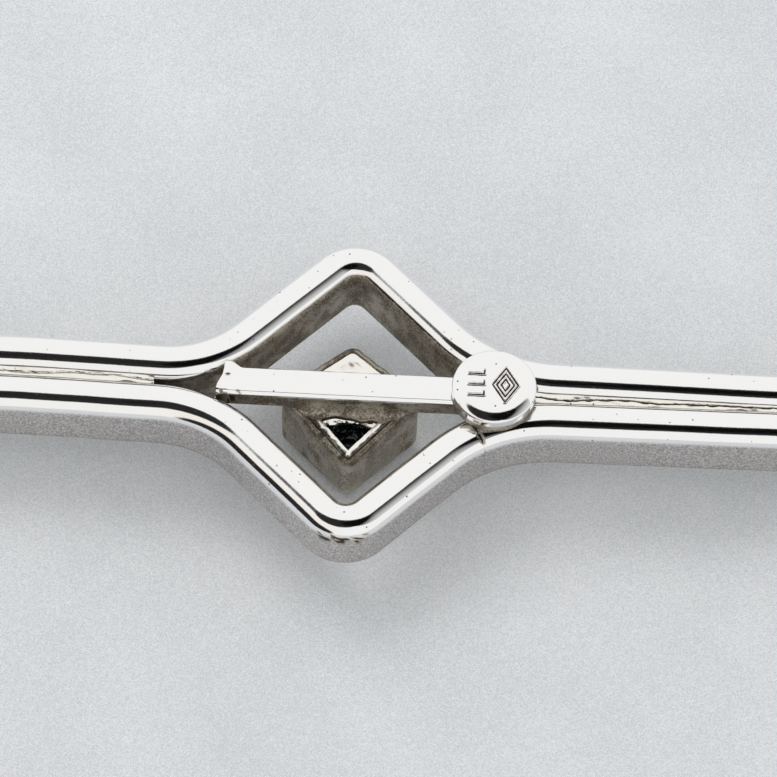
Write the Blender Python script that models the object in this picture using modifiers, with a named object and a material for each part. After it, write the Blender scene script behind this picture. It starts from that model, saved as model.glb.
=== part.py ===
"""Silver bar pin: two profiled rails that spread round a square opening with a stone in a box collet.

The bar lies along X, its front faces down and its back faces up. The back carries a cross bar, a
marked disc, a hinged pin stem on the left and a safety catch with a turning rotor on the right.
The origin is the middle of the stone's table. The stem is modelled open, resting on its heel.
"""

import math

import bmesh
import bpy
from mathutils import Matrix, Vector

MM = 0.001
GAP = 0.02 * MM  # between pieces that are soldered face to face
CUTTER_REACH = 8 * MM

# The bar, measured from the table of the stone
BACK_Z = 4.2 * MM
BAR_HALF_LENGTH = 31 * MM
RAIL_WIDTH = 1.54 * MM
RAIL_HEIGHT = 2.4 * MM
RAIL_BACK_EDGE = 0.62 * MM
RAIL_FRONT_EDGE = 0.3 * MM
LEFT_ARM_OFFSET = 0.87 * MM
RIGHT_ARM_OFFSET_NEAR = 0.9 * MM
RIGHT_ARM_OFFSET_FAR = 0.82 * MM
TAPER_END_X = 16 * MM
FRONT_Z = BACK_Z - RAIL_HEIGHT

# The square opening, standing on its corner
OPENING_REACH = 6.15 * MM
APEX_RADIUS = 1.2 * MM
LEFT_CROTCH_RADIUS = 4.6 * MM
RIGHT_CROTCH_RADIUS = 6 * MM
UPPER_SEAM_X = 5.4 * MM
LOWER_SEAM_X = 4.75 * MM
SEAM_GAP = 0.05 * MM
ARC_STEP = math.radians(12)

# The strips that close the groove between the rails
LEFT_STRIP_START_X = 7.4 * MM
RIGHT_STRIP_START_X = 6.7 * MM
STRIP_END_X = 29.4 * MM
STRIP_BACK_Z = BACK_Z - 0.5 * MM
STRIP_FRONT_Z = FRONT_Z + 0.4 * MM

# The cross bar and the marked disc
CROSS_BAR_WIDTH = 1.2 * MM
CROSS_BAR_THICKNESS = 0.85 * MM
CROSS_BAR_LEFT_X = -5.05 * MM
CROSS_BAR_RIGHT_X = 5.3 * MM
CROSS_BAR_Y = 0.06 * MM
CROSS_BAR_FLARE = 0.75 * MM  # how much of its left end widens towards the upper rail
FLARE_PEAK = 1.6  # times half the bar's width, at the flare's tip
FLARE_END = 1.2  # the same at the bar's end
CROSS_BAR_BACK_Z = BACK_Z - 0.03 * MM
CROSS_BAR_FRONT_Z = CROSS_BAR_BACK_Z - CROSS_BAR_THICKNESS
DISC_X = 5.36 * MM
DISC_Y = -0.12 * MM
DISC_RADIUS = 1.59 * MM
DISC_THICKNESS = 0.73 * MM
DISC_EDGE = 0.3 * MM
MARK_DEPTH = 0.06 * MM
MARK_WIDTH = 0.1 * MM
LOZENGE_X = 0.42 * MM  # from the disc's middle
LOZENGE_HALF_WIDTH = 0.48 * MM
LOZENGE_HALF_HEIGHT = 0.74 * MM
STROKE_START_X = -0.95 * MM
STROKE_END_X = -0.38 * MM
STROKE_PITCH = 0.46 * MM

# The collet, a square box standing on its corner: half sides, heights and its sloped back rim
COLLET_HALF_SIDE = 1.935 * MM
COLLET_CORNER = 0.45 * MM
COLLET_WALL = 0.235 * MM
COLLET_RIDGE_Z = CROSS_BAR_FRONT_Z - GAP
COLLET_CORNER_Z = 2.7 * MM
COLLET_REACH = 2.55 * MM
SEAT_WALL = 0.28 * MM
SEAT_FRONT_Z = 0.86 * MM
SEAT_DROP = 0.04 * MM

# The stone, half diagonals and heights
STONE_GIRDLE = 2.29 * MM
STONE_TABLE = 1.6 * MM
GIRDLE_FRONT_Z = 0.5 * MM
GIRDLE_BACK_Z = 0.6 * MM
CULET_Z = 1.45 * MM

# The pin stem and its hinge
PIVOT_X = -27 * MM
PIVOT_Z = BACK_Z + 2.2 * MM
OPEN_ANGLE = math.radians(108)
PATCH_THICKNESS = 0.35 * MM
PATCH_LENGTH = 4.6 * MM
PATCH_WIDTH = 2.7 * MM
PATCH_BACK_Z = BACK_Z + GAP + PATCH_THICKNESS
BRACKET_LENGTH = 2.4 * MM
BRACKET_INNER_WIDTH = 1.2 * MM
BRACKET_SHEET = 0.45 * MM
EAR_RADIUS = 1.05 * MM
RIVET_RADIUS = 0.35 * MM
RIVET_HEAD_RADIUS = 0.6 * MM
RIVET_HEAD = 0.2 * MM
RIVET_PLAY = 0.03 * MM
KNUCKLE_RADIUS = 0.9 * MM
KNUCKLE_WIDTH = 1.14 * MM
SOCKET_RADIUS = 0.56 * MM
SOCKET_REACH = 2.3 * MM
SOCKET_FLOOR = 1.1 * MM
STEM_RADIUS = 0.4 * MM
STEM_REACH = 56.5 * MM
POINT_LENGTH = 6 * MM
STEM_PLAY = 0.015 * MM

# The safety catch
CATCH_X = 26.5 * MM
CATCH_LENGTH = 2.4 * MM
HOUSING_RADIUS = 1.6 * MM
HOUSING_BORE = 1.2 * MM
MOUTH_WIDTH = 1.15 * MM
ROTOR_RADIUS = 1.16 * MM
ROTOR_SLOT_WIDTH = 1.05 * MM
ROTOR_TRAVEL = math.radians(90)
LEVER_ANGLE = math.radians(38)  # from straight up towards -Y
LEVER_RADIUS = 0.28 * MM
LEVER_REACH = 2.35 * MM
KNOB_RADIUS = 0.42 * MM
WINDOW_WIDTH = 0.64 * MM

SILVER = (0.86, 0.85, 0.83, 1)
TARNISHED_SILVER = (0.52, 0.5, 0.46, 1)
STEEL = (0.66, 0.67, 0.68, 1)
DARK_STONE = (0.02, 0.02, 0.03, 1)

SIDES = 32
UP = Vector((0, 0, 1))


def clear_scene():
    for old in list(bpy.data.objects):
        bpy.data.objects.remove(old, do_unlink=True)


def new_collection(name):
    made = bpy.data.collections.new(name)
    bpy.context.scene.collection.children.link(made)
    return made


def finish(name, colour, roughness, metallic):
    """A Principled material of one colour."""
    made = bpy.data.materials.new(name)
    made.use_nodes = True
    shader = made.node_tree.nodes["Principled BSDF"]
    shader.inputs["Base Color"].default_value = colour
    shader.inputs["Roughness"].default_value = roughness
    shader.inputs["Metallic"].default_value = metallic
    return made


clear_scene()
PARTS = new_collection("bar_pin")
CUTTERS = new_collection("cutters")
CUTTERS.hide_render = True
POLISHED = finish("polished_silver", SILVER, 0.12, 1)
TARNISHED = finish("tarnished_silver", TARNISHED_SILVER, 0.4, 1)
SPRING_WIRE = finish("pin_wire", STEEL, 0.25, 1)
STONE = finish("dark_stone", DARK_STONE, 0.05, 0)


def place(name, mesh, material=None, matrix=None):
    """An object of the mesh: a part with its material or, without one, a cutter."""
    made = bpy.data.objects.new(name, mesh)
    if matrix is not None:
        made.matrix_world = matrix
    if material is None:
        CUTTERS.objects.link(made)
        made.hide_render = True
        made.display_type = "WIRE"
        return made
    PARTS.objects.link(made)
    mesh.materials.clear()
    mesh.materials.append(material)
    mesh.shade_smooth()
    mesh.set_sharp_from_angle(angle=math.radians(30))
    return made


def mesh_of_curve(curve):
    """The closed mesh of a curve, with its caps welded; the curve is removed."""
    holder = bpy.data.objects.new("curve_holder", curve)
    bpy.context.scene.collection.objects.link(holder)
    graph = bpy.context.evaluated_depsgraph_get()
    mesh = bpy.data.meshes.new_from_object(holder.evaluated_get(graph))
    bpy.data.objects.remove(holder)
    bm = bmesh.new()
    bm.from_mesh(mesh)
    bmesh.ops.remove_doubles(bm, verts=bm.verts, dist=0.001 * MM)
    bmesh.ops.recalc_face_normals(bm, faces=bm.faces)
    bm.to_mesh(mesh)
    bm.free()
    return mesh


def flat_curve(name, outlines):
    """A 2D curve of closed outlines; an outline inside another is a hole."""
    curve = bpy.data.curves.new(name, "CURVE")
    curve.dimensions = "2D"
    for outline in outlines:
        spline = curve.splines.new("POLY")
        spline.points.add(len(outline) - 1)
        for point, (x, y) in zip(spline.points, outline):
            point.co = (x, y, 0, 1)
        spline.use_cyclic_u = True
    return curve


def slab(name, outlines, thickness):
    """The mesh of flat outlines, thickened evenly to both sides of the plane z = 0."""
    curve = flat_curve(name, outlines)
    curve.fill_mode = "BOTH"
    curve.extrude = thickness / 2
    return mesh_of_curve(curve)


def sweep(name, path, section, cyclic=False):
    """The mesh of a section carried along a level path: its x runs across, its y up."""
    section_curve = flat_curve(name + "_section", [section])
    section_object = bpy.data.objects.new(name + "_section", section_curve)
    curve = bpy.data.curves.new(name, "CURVE")
    curve.dimensions = "3D"
    curve.twist_mode = "Z_UP"
    spline = curve.splines.new("POLY")
    spline.points.add(len(path) - 1)
    for point, (x, y) in zip(spline.points, path):
        point.co = (x, y, 0, 1)
    spline.use_cyclic_u = cyclic
    curve.bevel_mode = "OBJECT"
    curve.bevel_object = section_object
    curve.use_fill_caps = not cyclic
    mesh = mesh_of_curve(curve)
    bpy.data.objects.remove(section_object)
    return mesh


def block(low, high):
    """The mesh of a box between two corners."""
    bm = bmesh.new()
    bmesh.ops.create_cube(bm, size=1)
    low, high = Vector(low), Vector(high)
    for vert in bm.verts:
        vert.co = (low + high) / 2 + vert.co * (high - low)
    mesh = bpy.data.meshes.new("block")
    bm.to_mesh(mesh)
    bm.free()
    return mesh


def rod(radius, start, end, radius_end=None, sides=SIDES):
    """The mesh of a round bar from start to end, which may taper."""
    start, end = Vector(start), Vector(end)
    along = end - start
    turn = UP.rotation_difference(along).to_matrix().to_4x4()
    bm = bmesh.new()
    bmesh.ops.create_cone(
        bm,
        cap_ends=True,
        segments=sides,
        radius1=radius,
        radius2=radius if radius_end is None else radius_end,
        depth=along.length,
        matrix=Matrix.Translation((start + end) / 2) @ turn,
    )
    mesh = bpy.data.meshes.new("rod")
    bm.to_mesh(mesh)
    bm.free()
    return mesh


def ball(radius, centre):
    bm = bmesh.new()
    spot = Matrix.Translation(centre)
    bmesh.ops.create_uvsphere(bm, u_segments=16, v_segments=10, radius=radius, matrix=spot)
    mesh = bpy.data.meshes.new("ball")
    bm.to_mesh(mesh)
    bm.free()
    return mesh


def boolean(part, cutter, operation):
    step = part.modifiers.new(operation.lower(), "BOOLEAN")
    step.operation = operation
    step.solver = "EXACT"
    step.object = cutter


def cut(part, *cutters):
    for cutter in cutters:
        boolean(part, cutter, "DIFFERENCE")


def join(part, *additions):
    for addition in additions:
        boolean(part, addition, "UNION")


def turned(name, profile, material, steps=SIDES, matrix=None):
    """A turned piece: its profile of (radius, height) runs from top to bottom on the outer side."""
    mesh = bpy.data.meshes.new(name)
    points = [(radius, 0, height) for radius, height in profile]
    edges = [(i, i + 1) for i in range(len(points) - 1)]
    mesh.from_pydata(points, edges, [])
    made = place(name, mesh, material, matrix)
    screw = made.modifiers.new("turn", "SCREW")
    screw.steps = screw.render_steps = steps
    screw.use_merge_vertices = True
    screw.merge_threshold = 0.0001 * MM
    screw.use_smooth_shade = False
    return made


def fillet(before, corner, after, radius):
    """The points of the arc that rounds a corner of a path."""
    into = (corner - before).normalized()
    out = (after - corner).normalized()
    turn = into.angle_signed(out)
    if radius == 0 or abs(turn) < 1e-6:
        return [tuple(corner)]
    start = corner - into * radius * math.tan(abs(turn) / 2)
    side = Vector((-into.y, into.x)) * (-1 if turn > 0 else 1)
    centre = start + side * radius
    steps = max(2, math.ceil(abs(turn) / ARC_STEP))
    arm = start - centre
    return [tuple(centre + Matrix.Rotation(-turn * i / steps, 2) @ arm) for i in range(steps + 1)]


def rounded(corners):
    """The points of a closed path through (x, y, radius) corners."""
    count = len(corners)
    spots = [Vector(corner[:2]) for corner in corners]
    points = []
    for i, (x, y, radius) in enumerate(corners):
        points += fillet(spots[i - 1], spots[i], spots[(i + 1) % count], radius)
    return points


def without_repeats(points):
    """The same points, leaving out one that falls on the point before it."""
    kept = [points[0]]
    for point in points[1:]:
        if math.dist(point, kept[-1]) > 0.001 * MM:
            kept.append(point)
    return kept


def rail_loop():
    """The middle line of the rails, all round the pin, anticlockwise from the right end."""
    right = BAR_HALF_LENGTH - RAIL_WIDTH / 2
    near, far, left = RIGHT_ARM_OFFSET_NEAR, RIGHT_ARM_OFFSET_FAR, LEFT_ARM_OFFSET
    upper = [
        (right, far, far),
        (TAPER_END_X, far, 0),
        (OPENING_REACH - near, near, RIGHT_CROTCH_RADIUS),
        (0, OPENING_REACH, APEX_RADIUS),
        (left - OPENING_REACH, left, LEFT_CROTCH_RADIUS),
        (-right, left, left),
    ]
    lower = [(x, -y, radius) for x, y, radius in reversed(upper)]
    return without_repeats(rounded(upper + lower))


def crossing(loop, seam_x, side):
    """The first index whose next step crosses x = seam_x on that side of the bar."""
    for i in range(len(loop) - 1):
        (x, y), (next_x, _) = loop[i], loop[i + 1]
        if y * side > 0 and (x - seam_x) * (next_x - seam_x) <= 0:
            return i


def on_step(loop, i, seam_x):
    """The point at x = seam_x on the step after index i."""
    (x, y), (next_x, next_y) = loop[i], loop[i + 1]
    share = (seam_x - x) / (next_x - x)
    return (seam_x, y + share * (next_y - y))


def split_loop():
    """The paths of the two wires: the frame on the left and the arm on the right of the seams."""
    loop = rail_loop()
    top = crossing(loop, UPPER_SEAM_X, 1)
    bottom = crossing(loop, LOWER_SEAM_X, -1)
    half = SEAM_GAP / 2
    frame = [on_step(loop, top, UPPER_SEAM_X - half)] + loop[top + 1 : bottom + 1]
    frame.append(on_step(loop, bottom, LOWER_SEAM_X - half))
    arm = [on_step(loop, bottom, LOWER_SEAM_X + half)] + loop[bottom + 1 :] + loop[: top + 1]
    arm.append(on_step(loop, top, UPPER_SEAM_X + half))
    return frame, arm


def rail_section(grow=0.0):
    """The rail's outline across its length: flat back, well-rounded back edges."""
    half = RAIL_WIDTH / 2 + grow
    back, front = BACK_Z + grow, FRONT_Z - grow
    corners = [
        (half, back, RAIL_BACK_EDGE),
        (-half, back, RAIL_BACK_EDGE),
        (-half, front, RAIL_FRONT_EDGE),
        (half, front, RAIL_FRONT_EDGE),
    ]
    return rounded_coarsely(corners)


def rounded_coarsely(corners, steps=4):
    """A closed outline through (x, y, radius) corners, each turned in a few steps."""
    points = []
    count = len(corners)
    for i, (x, y, radius) in enumerate(corners):
        corner = Vector((x, y))
        into = (corner - Vector(corners[i - 1][:2])).normalized()
        out = (Vector(corners[(i + 1) % count][:2]) - corner).normalized()
        centre = corner + (out - into) * radius
        for k in range(steps + 1):
            turn = math.pi / 2 * k / steps
            points.append(tuple(centre + (into * math.sin(turn) - out * math.cos(turn)) * radius))
    return points


def make_rails():
    frame, arm = split_loop()
    place("frame_wire", sweep("frame_wire", frame, rail_section()), POLISHED)
    place("arm_wire", sweep("arm_wire", arm, rail_section()), POLISHED)


def make_groove_strips():
    """Flat strips that close the groove: parallel on the left, tapered with the arm on the right."""

    def half_width(offset):
        return offset - RAIL_WIDTH / 2 - GAP

    left = half_width(LEFT_ARM_OFFSET)
    near, far = half_width(RIGHT_ARM_OFFSET_NEAR), half_width(RIGHT_ARM_OFFSET_FAR)
    share = (TAPER_END_X - RIGHT_STRIP_START_X) / (TAPER_END_X - OPENING_REACH + RIGHT_ARM_OFFSET_NEAR)
    start = far + share * (near - far)
    outlines = {
        "groove_strip_left": [
            (-STRIP_END_X, -left),
            (-LEFT_STRIP_START_X, -left),
            (-LEFT_STRIP_START_X, left),
            (-STRIP_END_X, left),
        ],
        "groove_strip_right": [
            (RIGHT_STRIP_START_X, -start),
            (TAPER_END_X, -far),
            (STRIP_END_X, -far),
            (STRIP_END_X, far),
            (TAPER_END_X, far),
            (RIGHT_STRIP_START_X, start),
        ],
    }
    middle = Matrix.Translation((0, 0, (STRIP_BACK_Z + STRIP_FRONT_Z) / 2))
    for name, outline in outlines.items():
        place(name, slab(name, [outline], STRIP_BACK_Z - STRIP_FRONT_Z), TARNISHED, middle)


def make_cross_bar():
    """A flat bar across the opening: its left end flares to the upper rail it is soldered to."""
    half = CROSS_BAR_WIDTH / 2
    left, right = CROSS_BAR_LEFT_X, CROSS_BAR_RIGHT_X
    outline = [
        (left, -half),
        (right, -half),
        (right, half),
        (left + CROSS_BAR_FLARE, half),
        (left + CROSS_BAR_FLARE / 2, FLARE_PEAK * half),
        (left, FLARE_END * half),
    ]
    middle = (CROSS_BAR_FRONT_Z + CROSS_BAR_BACK_Z) / 2
    shift = Matrix.Translation((0, CROSS_BAR_Y, middle))
    bar = place("cross_bar", slab("cross_bar", [outline], CROSS_BAR_THICKNESS), POLISHED, shift)
    rails = place("rail_clearance", sweep("rail_clearance", rail_loop(), rail_section(GAP), True))
    cut(bar, rails)


def rim(radius, top, thickness, edge, steps=4):
    """The profile of a round plate whose top edge is rounded."""
    profile = [(0, top)]
    for i in range(steps + 1):
        turn = math.pi / 2 * i / steps
        profile.append((radius - edge * (1 - math.sin(turn)), top - edge * (1 - math.cos(turn))))
    return profile + [(radius, top - thickness), (0, top - thickness)]


def lozenge(half_width, half_height):
    return [(half_width, 0), (0, half_height), (-half_width, 0), (0, -half_height)]


def make_disc():
    """The marked disc, with a punched lozenge and three short strokes."""
    back = BACK_Z + GAP + DISC_THICKNESS
    spot = Matrix.Translation((DISC_X, DISC_Y, 0))
    disc = turned("hallmark_disc", rim(DISC_RADIUS, back, DISC_THICKNESS, DISC_EDGE), POLISHED, 48, spot)
    inner = 1 - MARK_WIDTH * math.hypot(1 / LOZENGE_HALF_WIDTH, 1 / LOZENGE_HALF_HEIGHT)
    outlines = [
        lozenge(LOZENGE_HALF_WIDTH, LOZENGE_HALF_HEIGHT),
        lozenge(inner * LOZENGE_HALF_WIDTH, inner * LOZENGE_HALF_HEIGHT),
    ]
    shift = Matrix.Translation((DISC_X + LOZENGE_X, DISC_Y, back))
    cut(disc, place("lozenge_punch", slab("lozenge_punch", outlines, 2 * MARK_DEPTH), None, shift))
    for i in range(3):
        y = DISC_Y + (i - 1) * STROKE_PITCH
        low = (DISC_X + STROKE_START_X, y - MARK_WIDTH / 2, back - MARK_DEPTH)
        high = (DISC_X + STROKE_END_X, y + MARK_WIDTH / 2, back + MARK_DEPTH)
        cut(disc, place(f"stroke_punch_{i}", block(low, high)))


def box_path(half_side, corner):
    """The outline of a square on its corner, with rounded corners."""
    reach = half_side * math.sqrt(2)
    return rounded([(reach, 0, corner), (0, reach, corner), (-reach, 0, corner), (0, -reach, corner)])


def gable(name, drop):
    """The cutter that gives a box its ridged back rim: highest under the cross bar."""
    half = CROSS_BAR_WIDTH / 2
    ridge = COLLET_RIDGE_Z - drop
    slope = (COLLET_RIDGE_Z - COLLET_CORNER_Z) / (COLLET_REACH - half)
    eave = ridge - slope * (CUTTER_REACH - half)
    outline = [
        (CUTTER_REACH, eave),
        (CUTTER_REACH, CUTTER_REACH),
        (-CUTTER_REACH, CUTTER_REACH),
        (-CUTTER_REACH, eave),
        (-half, ridge),
        (half, ridge),
    ]
    # The outline's x becomes the row's Y, and its y becomes Z.
    turn = Matrix(((0, 0, 1, 0), (1, 0, 0, 0), (0, 1, 0, 0), (0, 0, 0, 1)))
    return place(name, slab(name, [outline], 2 * CUTTER_REACH), None, turn)


def make_collet():
    """The box with its lip turned in over the stone, and the seat soldered inside it."""
    wall = [
        (0, BACK_Z),
        (0, 0.62 * MM),
        (-0.06 * MM, 0.4 * MM),
        (-0.2 * MM, 0.22 * MM),
        (-0.35 * MM, 0.14 * MM),
        (-0.425 * MM, 0.2 * MM),
        (-0.425 * MM, 0.3 * MM),
        (-COLLET_WALL, 0.5 * MM),
        (-COLLET_WALL, BACK_Z),
    ]
    path = box_path(COLLET_HALF_SIDE, COLLET_CORNER)
    collet = place("collet", sweep("collet", path, wall, True), POLISHED)
    cut(collet, gable("collet_gable", 0))
    outer = COLLET_HALF_SIDE - COLLET_WALL - GAP
    outlines = [
        box_path(outer, COLLET_CORNER - COLLET_WALL - GAP),
        box_path(outer - SEAT_WALL, 0.05 * MM),
    ]
    middle = Matrix.Translation((0, 0, (BACK_Z + SEAT_FRONT_Z) / 2))
    seat = place("stone_seat", slab("stone_seat", outlines, BACK_Z - SEAT_FRONT_Z), TARNISHED, middle)
    cut(seat, gable("seat_gable", SEAT_DROP))


def make_stone():
    """A square stone on its corner: flat table in front, a four-sided point at the back."""
    profile = [
        (0, CULET_Z),
        (STONE_GIRDLE, GIRDLE_BACK_Z),
        (STONE_GIRDLE, GIRDLE_FRONT_Z),
        (STONE_TABLE, 0),
        (0, 0),
    ]
    turned("stone", profile, STONE, 4)


def rounded_plate(length, width, corner):
    x, y = length / 2, width / 2
    return rounded_coarsely([(x, y, corner), (-x, y, corner), (-x, -y, corner), (x, -y, corner)])


def make_patch(name, x):
    """The small plate that a fitting stands on."""
    outline = rounded_plate(PATCH_LENGTH, PATCH_WIDTH, 0.8 * MM)
    shift = Matrix.Translation((x, 0, BACK_Z + GAP + PATCH_THICKNESS / 2))
    return place(name, slab(name, [outline], PATCH_THICKNESS), POLISHED, shift)


def across(y_low, y_high):
    """Turns a slab's x and y into the row's X and Z, its thickness running between two Y values."""
    turn = Matrix(((1, 0, 0, 0), (0, 0, -1, 0), (0, 1, 0, 0), (0, 0, 0, 1)))
    return Matrix.Translation((0, (y_low + y_high) / 2, 0)) @ turn


def ear_outline():
    """The side of the bracket: square at the foot, round about the pivot."""
    foot = PATCH_BACK_Z + GAP
    half = BRACKET_LENGTH / 2
    points = [(PIVOT_X - half, foot), (PIVOT_X + half, foot)]
    low = math.radians(-20)
    for i in range(13):
        turn = low + (math.pi - 2 * low) * i / 12
        points.append((PIVOT_X + EAR_RADIUS * math.cos(turn), PIVOT_Z + EAR_RADIUS * math.sin(turn)))
    return points


def make_hinge():
    make_patch("hinge_patch", PIVOT_X)
    outer = BRACKET_INNER_WIDTH / 2 + BRACKET_SHEET
    inner = BRACKET_INNER_WIDTH / 2
    mesh = slab("hinge_bracket", [ear_outline()], 2 * outer)
    bracket = place("hinge_bracket", mesh, POLISHED, across(-outer, outer))
    web = PATCH_BACK_Z + GAP + BRACKET_SHEET
    low = (PIVOT_X - BRACKET_LENGTH, -inner, web)
    high = (PIVOT_X + BRACKET_LENGTH, inner, PIVOT_Z + 2 * EAR_RADIUS)
    hole = rod(RIVET_RADIUS + GAP, (PIVOT_X, -2 * outer, PIVOT_Z), (PIVOT_X, 2 * outer, PIVOT_Z))
    cut(bracket, place("fork_gap", block(low, high)), place("rivet_hole", hole))
    head_side = outer + GAP
    top = head_side + RIVET_HEAD
    profile = [
        (0, top),
        (0.7 * RIVET_HEAD_RADIUS, top),
        (RIVET_HEAD_RADIUS, head_side),
        (RIVET_RADIUS, head_side),
        (RIVET_RADIUS, -head_side),
        (RIVET_HEAD_RADIUS, -head_side),
        (0.7 * RIVET_HEAD_RADIUS, -top),
        (0, -top),
    ]
    crosswise = Matrix.Translation((PIVOT_X, 0, PIVOT_Z)) @ Matrix.Rotation(math.pi / 2, 4, "X")
    turned("hinge_rivet", profile, SPRING_WIRE, SIDES, crosswise)


def on_stem(reach):
    """A point of the open stem's middle line, this far from the pivot."""
    return (PIVOT_X + reach * math.cos(OPEN_ANGLE), 0, PIVOT_Z + reach * math.sin(OPEN_ANGLE))


def make_stem():
    """The knuckle with its heel and socket, and the pointed stem pressed into it, standing open."""
    side = KNUCKLE_WIDTH / 2
    start, end = (PIVOT_X, -side, PIVOT_Z), (PIVOT_X, side, PIVOT_Z)
    knuckle = place("pin_knuckle", rod(KNUCKLE_RADIUS, start, end), POLISHED)
    heel_foot = PATCH_BACK_Z + GAP + BRACKET_SHEET + GAP
    heel = [
        (PIVOT_X - 1.15 * MM, heel_foot),
        (PIVOT_X - 0.45 * MM, heel_foot),
        (PIVOT_X, PIVOT_Z - 0.7 * MM),
        (PIVOT_X - 0.65 * MM, PIVOT_Z - 0.4 * MM),
        (PIVOT_X - 1.15 * MM, heel_foot + 0.45 * MM),
    ]
    heel_part = place("knuckle_heel", slab("knuckle_heel", [heel], 2 * side), None, across(-side, side))
    socket = place("knuckle_socket", rod(SOCKET_RADIUS, on_stem(0), on_stem(SOCKET_REACH), sides=24))
    join(knuckle, heel_part, socket)
    bore = rod(RIVET_RADIUS + RIVET_PLAY, (PIVOT_X, -2 * side, PIVOT_Z), (PIVOT_X, 2 * side, PIVOT_Z))
    hole = rod(STEM_RADIUS + STEM_PLAY, on_stem(SOCKET_FLOOR), on_stem(2 * SOCKET_REACH), sides=24)
    cut(knuckle, place("knuckle_bore", bore), place("stem_hole", hole))
    profile = [
        (0, STEM_REACH),
        (0.08 * MM, STEM_REACH - 0.3 * MM),
        (0.3 * MM, STEM_REACH - 0.6 * POINT_LENGTH),
        (STEM_RADIUS, STEM_REACH - POINT_LENGTH),
        (STEM_RADIUS, SOCKET_FLOOR + GAP),
        (0, SOCKET_FLOOR + GAP),
    ]
    lean = Matrix.Rotation(math.pi / 2 - OPEN_ANGLE, 4, "Y")
    turned("pin_stem", profile, SPRING_WIRE, 24, Matrix.Translation((PIVOT_X, 0, PIVOT_Z)) @ lean)


def ring_point(radius, angle):
    """The (y, z) of a point round the catch's axis, its angle counted from straight up towards -Y."""
    return (-radius * math.sin(angle), PIVOT_Z + radius * math.cos(angle))


def sector(radius, start, end, steps=10):
    """A pie-shaped outline in (y, z) round the catch's axis."""
    arc = [ring_point(radius, start + (end - start) * i / steps) for i in range(steps + 1)]
    return [(0, PIVOT_Z)] + arc


def along_x(x_low, x_high):
    """Turns a slab's x and y into the row's Y and Z, its thickness running between two X values."""
    turn = Matrix(((0, 0, 1, 0), (1, 0, 0, 0), (0, 1, 0, 0), (0, 0, 0, 1)))
    return Matrix.Translation(((x_low + x_high) / 2, 0, 0)) @ turn


def make_catch():
    """The open tube on its foot, with the mouth for the stem and the window for the lever."""
    make_patch("catch_patch", CATCH_X)
    low_x, high_x = CATCH_X - CATCH_LENGTH / 2, CATCH_X + CATCH_LENGTH / 2
    housing = place("catch_housing", rod(HOUSING_RADIUS, (low_x, 0, PIVOT_Z), (high_x, 0, PIVOT_Z)), POLISHED)
    foot_low = (low_x, -0.8 * MM, PATCH_BACK_Z + GAP)
    foot = place("housing_foot", block(foot_low, (high_x, 0.8 * MM, PIVOT_Z - 0.9 * MM)))
    join(housing, foot)
    reach = CATCH_LENGTH
    bore = rod(HOUSING_BORE, (low_x - reach, 0, PIVOT_Z), (high_x + reach, 0, PIVOT_Z))
    half = MOUTH_WIDTH / 2
    mouth = block((low_x - reach, -half, PIVOT_Z), (high_x + reach, half, PIVOT_Z + 2 * HOUSING_RADIUS))
    cut(housing, place("housing_bore", bore), place("housing_mouth", mouth))
    play = math.radians(16)
    pie = sector(2 * HOUSING_RADIUS, LEVER_ANGLE - play, LEVER_ANGLE + ROTOR_TRAVEL + play)
    half_window = WINDOW_WIDTH / 2
    window = along_x(CATCH_X - half_window, CATCH_X + half_window)
    cut(housing, place("lever_window", slab("lever_window", [pie], WINDOW_WIDTH), None, window))


def make_rotor():
    """The slotted drum that turns in the housing, and the lever that turns it."""
    end = CATCH_LENGTH / 2
    low, high = (CATCH_X - end, 0, PIVOT_Z), (CATCH_X + end, 0, PIVOT_Z)
    rotor = place("catch_rotor", rod(ROTOR_RADIUS, low, high), POLISHED)
    half = ROTOR_SLOT_WIDTH / 2
    slot_low = (CATCH_X - CATCH_LENGTH, -half, PIVOT_Z)
    slot_high = (CATCH_X + CATCH_LENGTH, half, PIVOT_Z + 2 * ROTOR_RADIUS)
    round_low, round_high = (CATCH_X - CATCH_LENGTH, 0, PIVOT_Z), (CATCH_X + CATCH_LENGTH, 0, PIVOT_Z)
    cut(rotor, place("rotor_slot", block(slot_low, slot_high)))
    cut(rotor, place("rotor_slot_floor", rod(half, round_low, round_high)))
    start = (CATCH_X, *ring_point(ROTOR_RADIUS + GAP, LEVER_ANGLE))
    tip = (CATCH_X, *ring_point(LEVER_REACH, LEVER_ANGLE))
    lever = place("rotor_lever", rod(LEVER_RADIUS, start, tip, sides=20), POLISHED)
    join(lever, place("lever_knob", ball(KNOB_RADIUS, tip)))


make_rails()
make_groove_strips()
make_cross_bar()
make_disc()
make_collet()
make_stone()
make_hinge()
make_stem()
make_catch()
make_rotor()
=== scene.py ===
# %% [markdown]
# # A silver bar pin, lying on its front
# Two silver rails run side by side, spread round a square opening and meet again. A small box with
# a dark stone sits in the opening, carried by a flat bar that is soldered across the back. The
# imported CAD model gives every place and size; this notebook makes the surfaces that are looked at.
# We load that model first and keep its box.

# %% Load the frame
import math

import bmesh
import bpy
import numpy as np
from mathutils import Matrix, Vector


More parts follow.
